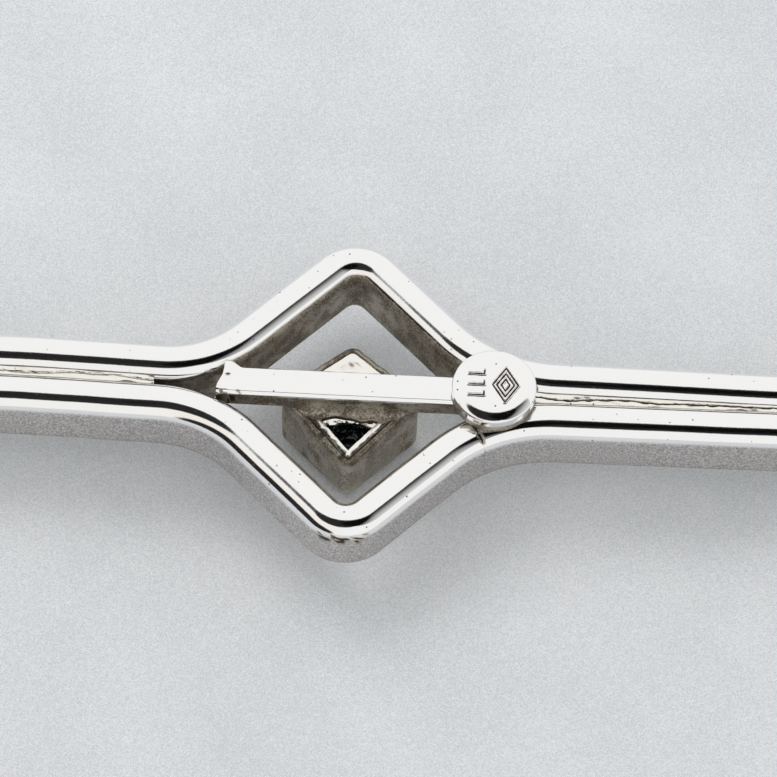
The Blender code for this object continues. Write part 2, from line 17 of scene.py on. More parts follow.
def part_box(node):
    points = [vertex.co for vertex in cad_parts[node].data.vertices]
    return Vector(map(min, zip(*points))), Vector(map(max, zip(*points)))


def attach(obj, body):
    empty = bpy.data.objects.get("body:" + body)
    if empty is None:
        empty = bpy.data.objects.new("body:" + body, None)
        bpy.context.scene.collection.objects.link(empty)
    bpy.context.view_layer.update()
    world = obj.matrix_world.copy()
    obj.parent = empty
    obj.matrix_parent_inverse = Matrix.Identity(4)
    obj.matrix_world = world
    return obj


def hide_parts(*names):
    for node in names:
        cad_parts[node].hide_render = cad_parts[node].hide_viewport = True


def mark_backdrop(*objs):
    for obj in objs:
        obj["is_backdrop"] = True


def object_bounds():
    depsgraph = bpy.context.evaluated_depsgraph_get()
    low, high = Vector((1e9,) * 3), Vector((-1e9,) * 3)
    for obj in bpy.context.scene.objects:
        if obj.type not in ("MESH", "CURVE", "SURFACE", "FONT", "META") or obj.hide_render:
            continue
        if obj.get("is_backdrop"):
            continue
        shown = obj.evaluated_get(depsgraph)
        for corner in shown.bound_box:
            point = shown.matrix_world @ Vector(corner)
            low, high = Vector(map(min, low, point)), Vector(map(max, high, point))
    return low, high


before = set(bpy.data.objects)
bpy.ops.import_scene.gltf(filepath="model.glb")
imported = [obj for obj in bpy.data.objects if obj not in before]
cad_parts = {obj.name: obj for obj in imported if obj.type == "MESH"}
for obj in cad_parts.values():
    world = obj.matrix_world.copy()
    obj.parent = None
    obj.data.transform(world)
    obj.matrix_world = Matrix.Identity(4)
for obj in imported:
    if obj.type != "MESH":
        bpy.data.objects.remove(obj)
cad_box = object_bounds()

MM = 0.001  # every shape below is worked out in millimetres and made in metres


def box_mm(node):
    """Lowest and highest corner of a CAD node, in millimetres."""
    low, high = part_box(node)
    return np.array(low) / MM, np.array(high) / MM


print("CAD nodes:", ", ".join(sorted(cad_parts)))

# %% [markdown]
# ## The camera
# We look at the pin from 31 degrees off straight down, through a long lens, so that parallel edges
# stay parallel. An orthographic camera would do the same, but a real lens far away keeps a trace of
# depth. The frame is 29 mm wide at the pin. The camera is rolled a little as well, which lets the
# bar sink to the right.

# %% Camera
TILT = math.radians(31)
ROLL = math.radians(2.7)
FRAME_WIDTH = 29.14
CAMERA_DISTANCE = 300
SENSOR = 36
NEAREST = 0.01  # metres; anything closer to the lens isn't drawn
AIM_RIGHT, AIM_UP = 1.406, -0.12  # where the frame's middle lies from the stone, in millimetres

low, high = box_mm("frame_wire")
BACK_Z, FRONT_Z = float(high[2]), float(low[2])


def make_camera():
    """Axes of the camera from its tilt and roll; it backs off along its own axis."""
    level_up = Vector((0, math.cos(TILT), math.sin(TILT)))
    back = Vector((0, -math.sin(TILT), math.cos(TILT)))
    right = Vector((1, 0, 0)) * math.cos(ROLL) + level_up * math.sin(ROLL)
    up = back.cross(right)
    aim = Vector((0, 0, BACK_Z)) + right * AIM_RIGHT + up * AIM_UP
    turn = Matrix((right, up, back)).transposed().to_4x4()
    lens = bpy.data.cameras.new("camera")
    lens.sensor_width = SENSOR
    lens.lens = SENSOR * CAMERA_DISTANCE / FRAME_WIDTH
    lens.clip_start = NEAREST
    camera = bpy.data.objects.new("camera", lens)
    camera.matrix_world = Matrix.Translation((aim + back * CAMERA_DISTANCE) * MM) @ turn
    bpy.context.scene.collection.objects.link(camera)
    bpy.context.scene.camera = camera
    return camera


camera = make_camera()
print("camera at", [round(v, 3) for v in camera.location], "lens", round(camera.data.lens))

# %% [markdown]
# ## Small node helpers
# Materials are graphs of nodes. A few helpers keep them readable: they add one node each and wire
# its inputs, and one of them starts a new material.

# %% Node helpers


def node(tree, kind, inputs=None, **settings):
    """Adds a node. Each input is a plain value or the socket that feeds it."""
    made = tree.nodes.new(kind)
    for key, value in settings.items():
        setattr(made, key, value)
    for key, value in (inputs or {}).items():
        if isinstance(value, bpy.types.NodeSocket):
            tree.links.new(value, made.inputs[key])
        else:
            made.inputs[key].default_value = value
    return made


def maths(tree, operation, first, second=0.0, third=0.0):
    """The result socket of a Math node."""
    inputs = {0: first, 1: second, 2: third}
    return node(tree, "ShaderNodeMath", inputs, operation=operation).outputs[0]


def ramp(tree, value, start, end, low=0.0, high=1.0):
    """A smooth step of a value from low to high as it goes from start to end."""
    inputs = {"Value": value, "From Min": start, "From Max": end, "To Min": low, "To Max": high}
    made = node(tree, "ShaderNodeMapRange", inputs, interpolation_type="SMOOTHSTEP")
    return made.outputs["Result"]


def blend_colour(tree, share, first, second):
    """Mixes two colours by a share from 0 to 1."""
    inputs = {0: share, 6: first, 7: second}
    return node(tree, "ShaderNodeMix", inputs, data_type="RGBA").outputs[2]


def noise(tree, place, scale, detail):
    """A noise from 0 to 1: its widest waves go scale times into a metre, and detail adds finer ones."""
    inputs = {"Vector": place, "Scale": scale, "Detail": detail}
    return node(tree, "ShaderNodeTexNoise", inputs).outputs["Fac"]


def start_material(name):
    """A new material, its tree, its shader and the socket that gives the place on the object."""
    made = bpy.data.materials.new(name)
    made.use_nodes = True
    tree = made.node_tree
    place = node(tree, "ShaderNodeTexCoord").outputs["Object"]
    return made, tree, tree.nodes["Principled BSDF"], place


print("node helpers:", ", ".join(f.__name__ for f in (node, maths, ramp, blend_colour, noise)))

# %% [markdown]
# ## Light
# Polished silver shows nothing but its surroundings, so the look of this pin is made by the room: a
# large pale box overhead and behind, a dark patch where the person who looks at it stands, a second
# one to the right that lightens outwards, and a low dark strip at the front left. We paint that
# room on the world as soft patches of direction, and only the mirror sees it. The floor is lit by
# an even pale sky and one soft lamp at the back left, which makes the soft shadow to the lower
# right. The lamp is hidden from the mirror, where it would show as a small bright square.

# %% World
ROOM_WHITE = (1.0, 1.0, 0.99, 1)
ROOM_CREAM = (1.0, 0.955, 0.9, 1)
ROOM_BACK, ROOM_FRONT = 0.935, 0.92
SKY_COLOUR = (0.8, 0.81, 0.82, 1)
SKY_LEVEL = 0.93
BACKDROP_LEVEL = 0.9

# Each dark patch: its middle, its half size, how soft its edge is and the level inside it.
PERSON = ((-0.04, 0.11), (0.45, 0.44), 0.05, 0.02)
RIGHT_SIDE = ((0.42, 0.06), (0.46, 0.43), 0.07, 0.0)
LOW_STRIP = ((-0.95, 0.14), (0.62, 0.4), 0.1, 0.02)
RIGHT_FADE = (0.22, 0.8, 0.02, 0.7)  # from this x to that x the right side lightens from, to


def patch(tree, across, up, centre, half, edge, depth):
    """A dark oval: depth inside it, 1 outside, with a soft edge. Sizes are in the two coordinates."""
    x = maths(tree, "DIVIDE", maths(tree, "SUBTRACT", across, centre[0]), half[0])
    y = maths(tree, "DIVIDE", maths(tree, "SUBTRACT", up, centre[1]), half[1])
    square = maths(tree, "ADD", maths(tree, "MULTIPLY", x, x), maths(tree, "MULTIPLY", y, y))
    reach = maths(tree, "SQRT", square)
    return ramp(tree, reach, 1 - edge, 1 + edge, depth, 1.0)


def room_darkness(tree, parts, swing):
    """The product of the three patches; the strip counts only in front of the pin."""
    person = patch(tree, parts["X"], swing, *PERSON)
    right = patch(tree, parts["X"], swing, *RIGHT_SIDE)
    right = maths(tree, "MAXIMUM", right, ramp(tree, parts["X"], *RIGHT_FADE))
    strip = patch(tree, parts["X"], parts["Z"], *LOW_STRIP)
    strip = maths(tree, "MAXIMUM", strip, ramp(tree, parts["Y"], -0.12, 0.0))
    return maths(tree, "MULTIPLY", maths(tree, "MULTIPLY", person, right), strip)


def make_world():
    """Radiance by direction: across is x, and swing is the angle from straight up towards -Y."""
    world = bpy.data.worlds.new("studio")
    world.use_nodes = True
    tree = world.node_tree
    tree.nodes.clear()
    direction = node(tree, "ShaderNodeTexCoord").outputs["Generated"]
    parts = node(tree, "ShaderNodeSeparateXYZ", {0: direction}).outputs
    towards_front = maths(tree, "MULTIPLY", parts["Y"], -1.0)
    swing = maths(tree, "ARCTAN2", towards_front, parts["Z"])
    level = ramp(tree, swing, -0.5, 0.2, ROOM_BACK, ROOM_FRONT)
    level = maths(tree, "MULTIPLY", level, room_darkness(tree, parts, swing))
    low_left = (ramp(tree, parts["X"], 0.05, -0.35), ramp(tree, swing, -0.1, 0.3))
    tint = blend_colour(tree, maths(tree, "MULTIPLY", *low_left), ROOM_WHITE, ROOM_CREAM)
    room = node(tree, "ShaderNodeBackground", {"Color": tint, "Strength": level})
    sky = node(tree, "ShaderNodeBackground", {"Color": SKY_COLOUR, "Strength": SKY_LEVEL})
    backdrop = node(tree, "ShaderNodeBackground", {"Color": SKY_COLOUR, "Strength": BACKDROP_LEVEL})
    path = node(tree, "ShaderNodeLightPath").outputs
    shares = {0: path["Is Glossy Ray"], 1: sky.outputs[0], 2: room.outputs[0]}
    lit = node(tree, "ShaderNodeMixShader", shares)
    shares = {0: path["Is Camera Ray"], 1: lit.outputs[0], 2: backdrop.outputs[0]}
    seen = node(tree, "ShaderNodeMixShader", shares)
    node(tree, "ShaderNodeOutputWorld", {"Surface": seen.outputs[0]})
    return world


bpy.context.scene.world = make_world()
bpy.context.scene.view_settings.view_transform = "Standard"
print("world:", len(bpy.context.scene.world.node_tree.nodes), "nodes")

# %% Lamp
LAMP_SLOPE = (-0.45, 0.65, 1.0)  # towards the lamp
LAMP_DISTANCE = 0.25
LAMP_SIZE = 0.11
LAMP_POWER = 0.124
LAMP_COLOUR = (1.0, 0.99, 0.98)


def make_lamp():
    """A square soft box that faces the stone."""
    lamp = bpy.data.lights.new("soft_box", "AREA")
    lamp.size = LAMP_SIZE
    lamp.energy = LAMP_POWER
    lamp.color = LAMP_COLOUR
    holder = bpy.data.objects.new("soft_box", lamp)
    towards = Vector(LAMP_SLOPE).normalized()
    holder.location = towards * LAMP_DISTANCE
    holder.rotation_euler = towards.to_track_quat("Z", "Y").to_euler()
    holder.visible_glossy = False
    bpy.context.scene.collection.objects.link(holder)
    return holder


lamp = make_lamp()
print("lamp at", [round(v, 3) for v in lamp.location])

# %% [markdown]
# ## The floor
# A plain pale card: one large square, with a grain far finer than the pin over broad faint clouds.

# %% Floor
FLOOR_SIZE = 1.6
FLOOR_Z = float(cad_box[0].z) - 0.02 * MM
CARD_DARK, CARD_LIGHT = (0.64, 0.66, 0.675, 1), (0.9, 0.91, 0.92, 1)


def pale_card():
    """Colour = a smooth step of 0.8 of the grain and 0.2 of the clouds, from dark to light."""
    card, tree, shader, place = start_material("pale_card")
    grain = maths(tree, "MULTIPLY", noise(tree, place, 21000.0, 2.0), 0.8)
    clouds = maths(tree, "MULTIPLY", noise(tree, place, 160.0, 3.0), 0.2)
    shade = ramp(tree, maths(tree, "ADD", grain, clouds), 0.3, 0.7)
    colour = blend_colour(tree, shade, CARD_DARK, CARD_LIGHT)
    tree.links.new(colour, shader.inputs["Base Color"])
    shader.inputs["Roughness"].default_value = 0.85
    shader.inputs["Specular IOR Level"].default_value = 0.2
    return card


def make_floor():
    """Four corners and one face."""
    reach = FLOOR_SIZE / 2
    corners = [(-reach, -reach), (reach, -reach), (reach, reach), (-reach, reach)]
    mesh = bpy.data.meshes.new("floor")
    mesh.from_pydata([(x, y, FLOOR_Z) for x, y in corners], [], [(0, 1, 2, 3)])
    mesh.materials.append(pale_card())
    floor = bpy.data.objects.new("floor", mesh)
    bpy.context.scene.collection.objects.link(floor)
    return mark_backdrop(floor)


make_floor()
print("floor at", round(FLOOR_Z / MM, 3), "mm")

# %% [markdown]
# ## Surfaces from numbers
# Every new piece is a grid of points: one way runs along the piece, the other way runs round it.
# One maker turns such a grid into a closed mesh. It measures the signed volume of what it made and
# turns the faces round if that is negative, so that all faces look outwards. Each point can also
# carry two numbers that the silver reads: tarnish, from 0 where the metal is rubbed bright over 1
# where it is never touched to 1.5 and more where it is black with soot, and dull, from 0 for a
# mirror to 1 for the grey satin of a side that was only filed. On the rails the tarnish number also
# holds a painted shade at the foot of the outer wall.

# %% Mesh maker
SHARP = math.radians(32)


def grid_faces(along, around, ring):
    """Quads of a grid that wraps round, and the triangles that close its two ends.

    Quad (i, j) joins point i, j to the next ones. A ring wraps along too and has no ends; otherwise
    each end is a fan round the middle of its row, and the two middles are the last two points.
    """
    index = np.arange(along * around).reshape(along, around)
    here = index if ring else index[:-1]
    ahead = np.roll(index, -1, 0) if ring else index[1:]
    quads = np.stack([here, np.roll(here, -1, 1), np.roll(ahead, -1, 1), ahead], -1).reshape(-1, 4)
    if ring:
        return quads, np.empty((0, 3), int)
    first, last = np.full(around, along * around), np.full(around, along * around + 1)
    fans = [
        np.stack([first, np.roll(index[0], -1), index[0]], -1),
        np.stack([last, index[-1], np.roll(index[-1], -1)], -1),
    ]
    return quads, np.concatenate(fans)


def signed_volume(spots, triangles):
    """A sixth of the sum of a . (b x c) over the triangles a, b, c."""
    a, b, c = (spots[triangles[:, corner]] for corner in range(3))
    return np.einsum("ij,ij->i", a, np.cross(b, c)).sum() / 6


def surface(name, points, tarnish=0.0, dull=0.0, ring=False, sharp=SHARP):
    """A closed mesh of a grid of shape (along, round, 3) and the two numbers of each point."""
    along, around = points.shape[:2]
    numbers = [np.broadcast_to(value, (along, around)) for value in (tarnish, dull)]
    grid = np.concatenate([points, np.stack(numbers, -1)], -1)
    rows = grid.reshape(along * around, -1)
    if not ring:
        rows = np.concatenate([rows, [grid[0].mean(0), grid[-1].mean(0)]])
    spots, wear = rows[:, :3], rows[:, 3:]
    quads, fans = grid_faces(along, around, ring)
    triangles = np.concatenate([quads[:, [0, 1, 2]], quads[:, [0, 2, 3]], fans])
    volume = signed_volume(spots, triangles)
    faces = quads.tolist() + fans.tolist()
    if volume < 0:
        faces = [face[::-1] for face in faces]
    mesh = bpy.data.meshes.new(name)
    mesh.from_pydata((spots * MM).tolist(), [], faces)
    for key, values in zip(("tarnish", "dull"), wear.T.astype(np.float32)):
        mesh.attributes.new(key, "FLOAT", "POINT").data.foreach_set("value", values)
    mesh.shade_smooth()
    if sharp is not None:
        mesh.set_sharp_from_angle(angle=sharp)
    made = bpy.data.objects.new(name, mesh)
    bpy.context.scene.collection.objects.link(made)
    print(f"{name}: {len(triangles)} triangles, {abs(volume):.2f} cubic mm")
    return made


def dress(piece, body, slot, material, *nodes):
    """Gives a piece its body and material, and hides the CAD nodes it stands for. The slot is not used.
    """
    piece.data.materials.append(material)
    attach(piece, body)
    if nodes:
        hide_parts(*nodes)
    return piece


print("a square tube of 2 stations has", sum(map(len, grid_faces(2, 4, False))), "faces")

# %% [markdown]
# ## Paths and unevenness
# Bent wire and sawn sheet have outlines of straight lines and arcs, so an outline here is a list of
# corners with a radius each, walked at an even step so that the faces are even too. Nothing made by
# hand is quite true, so every surface is moved a little by a ripple. A noise texture would do, but
# a few sine waves are a formula that we can put on any coordinates.

# %% Paths


def round_corners(corners, steps):
    """A closed outline through (x, y, radius) corners.

    At each corner an arc leaves the incoming side at radius * tan(turn / 2) before the corner and
    sweeps the turn round its centre, which lies one radius to the inner side.
    """
    table = np.array(corners, float)
    spots, radius = table[:, :2], table[:, 2]
    into = spots - np.roll(spots, 1, 0)
    into /= np.linalg.norm(into, axis=1)[:, None]
    out = np.roll(into, -1, 0)
    turn = np.arctan2(into[:, 0] * out[:, 1] - into[:, 1] * out[:, 0], (into * out).sum(1))
    start = spots - into * (radius * np.tan(np.abs(turn) / 2))[:, None]
    left = np.stack([-into[:, 1], into[:, 0]], 1)
    centre = start + left * (radius * np.sign(turn))[:, None]
    angle = turn[:, None] * np.linspace(0, 1, steps)
    arm = (start - centre)[:, None, :]
    x = centre[:, :1] + np.cos(angle) * arm[..., 0] - np.sin(angle) * arm[..., 1]
    y = centre[:, 1:] + np.sin(angle) * arm[..., 0] + np.cos(angle) * arm[..., 1]
    points = np.stack([x, y], -1).reshape(-1, 2)
    apart = np.linalg.norm(points - np.roll(points, 1, 0), axis=1)
    return points[apart > 1e-6]


def even_walk(outline, step):
    """The same closed outline, walked at an even step along its length."""
    loop = np.concatenate([outline, outline[:1]])
    length = np.concatenate([[0], np.cumsum(np.linalg.norm(np.diff(loop, axis=0), axis=1))])
    stops = np.linspace(0, length[-1], math.ceil(length[-1] / step), endpoint=False)
    return np.stack([np.interp(stops, length, loop[:, 0]), np.interp(stops, length, loop[:, 1])], 1)


def sideways(path, closed):
    """The unit vectors to the left of a path, square to its local direction."""
    if closed:
        along = np.roll(path, -1, 0) - np.roll(path, 1, 0)
    else:
        along = np.gradient(path, axis=0)
    along /= np.linalg.norm(along, axis=1)[:, None]
    return np.stack([-along[:, 1], along[:, 0]], 1)


print("a corner of 90 degrees:", round_corners([(0, 0, 1), (4, 0, 1), (4, 4, 1), (0, 4, 1)], 3).shape)

# %% Unevenness


def ripple(along, across, pitch, seed, waves=9):
    """The uneven surface that hands and files leave: a mean of sine waves, each with its own
    direction, phase and length round the pitch. It stays between about -1 and 1."""
    draw = np.random.default_rng(seed)
    turn = draw.uniform(0, 2 * math.pi, waves)
    phase = draw.uniform(0, 2 * math.pi, waves)
    length = pitch * draw.uniform(0.6, 1.8, waves)
    along, across = np.broadcast_arrays(np.asarray(along, float), np.asarray(across, float))
    run = along[..., None] * np.cos(turn) + across[..., None] * np.sin(turn)
    return 1.6 * np.sin(2 * math.pi * run / length + phase).mean(-1)


def step_up(value, start, end):
    """A smooth step from 0 at start to 1 at end."""
    share = np.clip((value - start) / (end - start), 0, 1)
    return share * share * (3 - 2 * share)


print("ripple along a line:", ripple(np.arange(4.0), 0, 2.0, 1).round(2))

# %% [markdown]
# ## Silver
# Silver is a very bright mirror with a warm grey body where it has tarnished. The polished faces
# keep a slight orange-peel and a few dark pits; the hollows hold brown tarnish that is rough and
# grainy. One graph does both: the tarnish number, made ragged by two noises, fades the mirror into
# the brown and, past 1, into black; the dull number turns the mirror into grey satin. The pits are
# the middles of random cells, and only some cells have one.

# %% Silver
BRIGHT = (0.95, 0.945, 0.94, 1)
SATIN_DARK, SATIN_LIGHT = (0.4, 0.38, 0.37, 1), (0.74, 0.71, 0.695, 1)
UMBER, BROWN = (0.2, 0.17, 0.13, 1), (0.56, 0.51, 0.43, 1)
SOOT = (0.08, 0.06, 0.045, 1)
BROWN_SPAN = (0.2, 0.8)  # tarnish where the brown starts and where it is full
SOOT_SPAN = (1.15, 1.5)
PEEL_SCALE, CLOUD_SCALE, PIT_SCALE, SAND_SCALE = 700.0, 1500.0, 3500.0, 14000.0  # waves to a metre
BUMP_DEPTH = 0.02 * MM
ROUGH_TARNISH = 0.5
SATIN_ROUGHNESS = 0.75  # share of the way to the tarnish's roughness


def off_middle(tree, value, share, base):
    """Base + share * (value - 0.5)."""
    return maths(tree, "MULTIPLY_ADD", maths(tree, "SUBTRACT", value, 0.5), share, base)


def pit_spots(tree, place, widest):
    """1 within a random distance, up to the widest, of the middles of half of the cells; else 0."""
    cell = node(tree, "ShaderNodeTexVoronoi", {"Vector": place, "Scale": PIT_SCALE}).outputs
    chosen = node(tree, "ShaderNodeSeparateColor", {0: cell["Color"]}).outputs[0]
    size = maths(tree, "MULTIPLY", ramp(tree, chosen, 0.5, 1.0), widest)
    return maths(tree, "LESS_THAN", cell["Distance"], size)


def silver_colour(tree, tone, tarnish, dull, clouds, sand):
    """The tone fades to satin with dull, to mottled brown with tarnish, and past 1 to soot."""
    satin = blend_colour(tree, ramp(tree, sand, 0.36, 0.64), SATIN_DARK, SATIN_LIGHT)
    mottle = maths(tree, "MULTIPLY", maths(tree, "ADD", sand, clouds), 0.5)
    brown = blend_colour(tree, ramp(tree, mottle, 0.41, 0.58), UMBER, BROWN)
    colour = blend_colour(tree, dull, tone, satin)
    colour = blend_colour(tree, ramp(tree, tarnish, *BROWN_SPAN), colour, brown)
    return blend_colour(tree, ramp(tree, tarnish, *SOOT_SPAN), colour, SOOT)


def silver_bump(tree, peel, waves, grain, height):
    """The slight peel of the polish, and on it the fine height of grain and pits."""
    inputs = {"Height": waves, "Strength": peel, "Distance": BUMP_DEPTH}
    soft = node(tree, "ShaderNodeBump", inputs).outputs[0]
    inputs = {"Height": height, "Strength": grain, "Distance": BUMP_DEPTH, "Normal": soft}
    return node(tree, "ShaderNodeBump", inputs).outputs[0]


def silver(name, tone=BRIGHT, roughness=0.09, dirt=0.0, grain=0.3, pits=0.12, peel=0.35):
    """Tarnish = attribute + dirt + noise, through a smooth step; bump = peel + grain + pits."""
    made, tree, shader, place = start_material(name)
    worn = node(tree, "ShaderNodeAttribute", attribute_name="tarnish").outputs["Fac"]
    dull = node(tree, "ShaderNodeAttribute", attribute_name="dull").outputs["Fac"]
    clouds = noise(tree, place, CLOUD_SCALE, 5.0)
    sand = noise(tree, place, SAND_SCALE, 3.0)
    waves = noise(tree, place, PEEL_SCALE, 1.0)
    ragged = off_middle(tree, sand, 0.35, off_middle(tree, clouds, 0.7, dirt))
    tarnish = maths(tree, "ADD", worn, ragged)
    brown_share = ramp(tree, tarnish, *BROWN_SPAN)
    pit = pit_spots(tree, place, pits)
    colour = silver_colour(tree, tone, tarnish, dull, clouds, sand)
    tree.links.new(blend_colour(tree, pit, colour, SOOT), shader.inputs["Base Color"])
    satin_share = maths(tree, "MULTIPLY", dull, SATIN_ROUGHNESS)
    matt = maths(tree, "MAXIMUM", brown_share, satin_share)
    rough = ramp(tree, matt, 0.0, 1.0, roughness, ROUGH_TARNISH)
    sanded = maths(tree, "MULTIPLY", maths(tree, "SUBTRACT", sand, 0.5), 0.06)
    tree.links.new(maths(tree, "ADD", rough, sanded), shader.inputs["Roughness"])
    shader.inputs["Metallic"].default_value = 1.0
    grained = maths(tree, "MULTIPLY", sand, maths(tree, "ADD", brown_share, 0.1))
    height = maths(tree, "SUBTRACT", grained, pit)
    tree.links.new(silver_bump(tree, peel, waves, grain, height), shader.inputs["Normal"])
    print(f"{name}: {len(tree.nodes)} nodes")
    return made


POLISHED = silver("polished_silver")
RECESS = silver("recess_silver", tone=(0.86, 0.84, 0.8, 1), roughness=0.2, dirt=0.1, grain=0.6)
SOLDER_TONE = (0.93, 0.905, 0.85, 1)
SOLDER = silver("solder", tone=SOLDER_TONE, roughness=0.16, dirt=0.02, grain=0.4, peel=0.8)

# %% [markdown]
# ## The rails
# The two rails are one profiled silver wire bent to shape: flat on the back, with generously
# rounded back edges that catch a dark line and a bright line, and smaller front edges. A curve with
# a bevel object would do, but we also want slight waves from the bending and a tarnish value that
# knows the inner side from the outer one. So we carry the profile along the path ourselves: a point
# is the path's point plus the left-hand unit vector times its distance across, at its own height.

# %% Rail path and profile
RAIL_WIDTH = 1.54
RAIL_HALF = RAIL_WIDTH / 2
BACK_EDGE = 0.62
FRONT_EDGE = 0.3
LEFT_OFFSET, RIGHT_OFFSET_NEAR, RIGHT_OFFSET_FAR = 0.87, 0.9, 0.82
TAPER_END_X = 16.0
OPENING_REACH = 6.15
APEX_RADIUS, LEFT_CROTCH_RADIUS, RIGHT_CROTCH_RADIUS = 1.2, 4.6, 6.0
BAR_END_X = -float(low[0])
UPPER_SEAM_X, LOWER_SEAM_X, SEAM_GAP = 5.4, 4.75, 0.05
WALK_STEP = 0.11
PATH_ARC_STEPS, PROFILE_ARC_STEPS = 28, 13


def rail_loop():
    """The middle line of the rails, anticlockwise from the right end."""
    right = BAR_END_X - RAIL_HALF
    upper = [
        (right, RIGHT_OFFSET_FAR, RIGHT_OFFSET_FAR),
        (TAPER_END_X, RIGHT_OFFSET_FAR, 0),
        (OPENING_REACH - RIGHT_OFFSET_NEAR, RIGHT_OFFSET_NEAR, RIGHT_CROTCH_RADIUS),
        (0, OPENING_REACH, APEX_RADIUS),
        (LEFT_OFFSET - OPENING_REACH, LEFT_OFFSET, LEFT_CROTCH_RADIUS),
        (-right, LEFT_OFFSET, LEFT_OFFSET),
    ]
    lower = [(x, -y, radius) for x, y, radius in reversed(upper)]
    return even_walk(round_corners(upper + lower, PATH_ARC_STEPS), WALK_STEP)


def rail_profile():
    """Distances across and heights of the profile, anticlockwise from the right, seen along it."""
    corners = [
        (RAIL_HALF, FRONT_Z, FRONT_EDGE),
        (RAIL_HALF, BACK_Z, BACK_EDGE),
        (-RAIL_HALF, BACK_Z, BACK_EDGE),
        (-RAIL_HALF, FRONT_Z, FRONT_EDGE),
    ]
    return round_corners(corners, PROFILE_ARC_STEPS)


def cut_point(walk, index, seam_x):
    """The point at x = seam_x on the step that ends at this index."""
    before, after = walk[index - 1], walk[index]
    share = (seam_x - before[0]) / (after[0] - before[0])
    return before + share * (after - before)


walk = rail_loop()
profile = rail_profile()
top = int(np.argmax((walk[:, 1] > 0) & (walk[:, 0] < UPPER_SEAM_X)))
bottom = int(np.argmax((walk[:, 1] < 0) & (walk[:, 0] > LOWER_SEAM_X)))
print(f"rail loop: {len(walk)} stations, profile of {len(profile)} points, seams at {top} and {bottom}")

# %% Rail shape
WALL_POINTS = 5
LONG_SIDE = 0.25
RAIL_WAVE = 0.008
BEND = 0.13
END_DOME, END_SHRINK = 0.03, 0.93  # a cut end bulges by this much and is this much smaller


def split_walls(section):
    """The profile with extra points on its long straight sides, so that tarnish can fade on them."""
    after = np.roll(section, -1, 0)
    long = np.linalg.norm(after - section, axis=1) > LONG_SIDE
    shares = np.arange(WALL_POINTS)[:, None, None] / WALL_POINTS
    rows = section + shares * (after - section)
    keep = np.broadcast_to(long, (WALL_POINTS, len(section))).copy()
    keep[0] = True
    return rows.transpose(1, 0, 2)[keep.T]


def arm_bend(x):
    """The left arm was bent a hair towards +Y and comes back: how far each x has moved."""
    return BEND * step_up(-x, 5.5, 13) * (1 - step_up(-x, 15, 25))


def rail_grid(path, seed):
    """The profile carried along a path, whose last stations close in a little, like filed ends.

    Height and distance across each get a ripple of their own. Returns the points, how far each is
    to the left of the path, and how far along it.
    """
    section = split_walls(profile)
    ends = np.concatenate([path[:1], path, path[-1:]])
    left = sideways(path, False)
    left = np.concatenate([left[:1], left, left[-1:]])
    ends[0] -= END_DOME * (path[1] - path[0]) / WALK_STEP
    ends[-1] += END_DOME * (path[-1] - path[-2]) / WALK_STEP
    scale = np.ones((len(ends), 1))
    scale[[0, -1]] = END_SHRINK
    length = np.arange(len(ends))[:, None] * WALK_STEP
    middle = (BACK_Z + FRONT_Z) / 2
    across = section[:, 0] * scale
    height = middle + (section[:, 1] - middle) * scale
    across = across + RAIL_WAVE * ripple(length, height, 3.0, seed)
    height = height + RAIL_WAVE * ripple(length, across, 4.0, seed + 1)
    points = np.empty((*height.shape, 3))
    points[..., :2] = ends[:, None, :] + left[:, None, :] * across[..., None]
    points[..., 2] = height
    points[..., 1] += arm_bend(points[..., 0])
    return points, across, length


print("split profile:", len(split_walls(profile)), "points; bend at x = -13:", arm_bend(-13.0))

# %% Rail wear, painted foot shade and rails
BROWN_WALL, BLACK_APEX, SCORCHED_END, PAINTED_FOOT_SHADE = 0.85, 2.2, 1.6, 0.6  # the tarnish of each; the foot's value is painted shade


def rail_wear_and_shade(points, across, length, seed):
    """Tarnish, with a painted shade at the outer wall's foot, and dull of each point, as products of
    smooth steps of its place.

    Fall is how far a point lies below the flat back. The inner wall is brown, from higher up round
    the opening than in the groove. The lowest corner has a torn black line, the cut ends are
    scorched, the foot of the outer wall gets a dark line of painted shade, which stands for the dark
    floor mirrored in its lower edge, and the rest of that wall is satin.
    """
    x, y, height = np.moveaxis(points, -1, 0)
    fall = BACK_Z - height
    inner = step_up(across, 0.2, RAIL_HALF - 0.02)
    in_opening = 1 - step_up(np.abs(x), 4.6, 6.2)
    depth = step_up(fall, 0.32 - 0.2 * in_opening, 0.85 - 0.6 * in_opening)
    torn = step_up(ripple(x, 2.5 * height, 0.3, seed + 2), 0.0, 0.15)
    low_apex = torn * step_up(-y, 6.1, 6.25)
    low_apex = low_apex * step_up(fall, 0.3, 0.4) * (1 - step_up(fall, 0.6, 0.8))
    outer = step_up(-across, 0.4, RAIL_HALF - 0.03) * step_up(fall, 0.4, 0.58)
    from_end = np.minimum(length, length[-1] - length)
    scorch = 1 - step_up(from_end + 0.1 * ripple(across, height, 0.22, seed + 3), 0.1, 0.18)
    scorch = scorch * (1 - step_up(fall, 0.1, 0.26))
    # The foot's dark line is painted shade: the dark floor under the pin, mirrored in the wall's
    # rounded lower edge.
    foot = step_up(-across, 0.4, RAIL_HALF - 0.2) * step_up(fall, 2.0, 2.2)
    worn = BROWN_WALL * inner * depth + BLACK_APEX * low_apex + SCORCHED_END * scorch
    return worn + PAINTED_FOOT_SHADE * foot, outer


def rail(name, path, seed):
    """One of the two bent wires, closed at its cut ends."""
    points, across, length = rail_grid(path, seed)
    worn, outer = rail_wear_and_shade(points, across, length, seed)
    return surface(name, points, tarnish=worn, dull=outer)


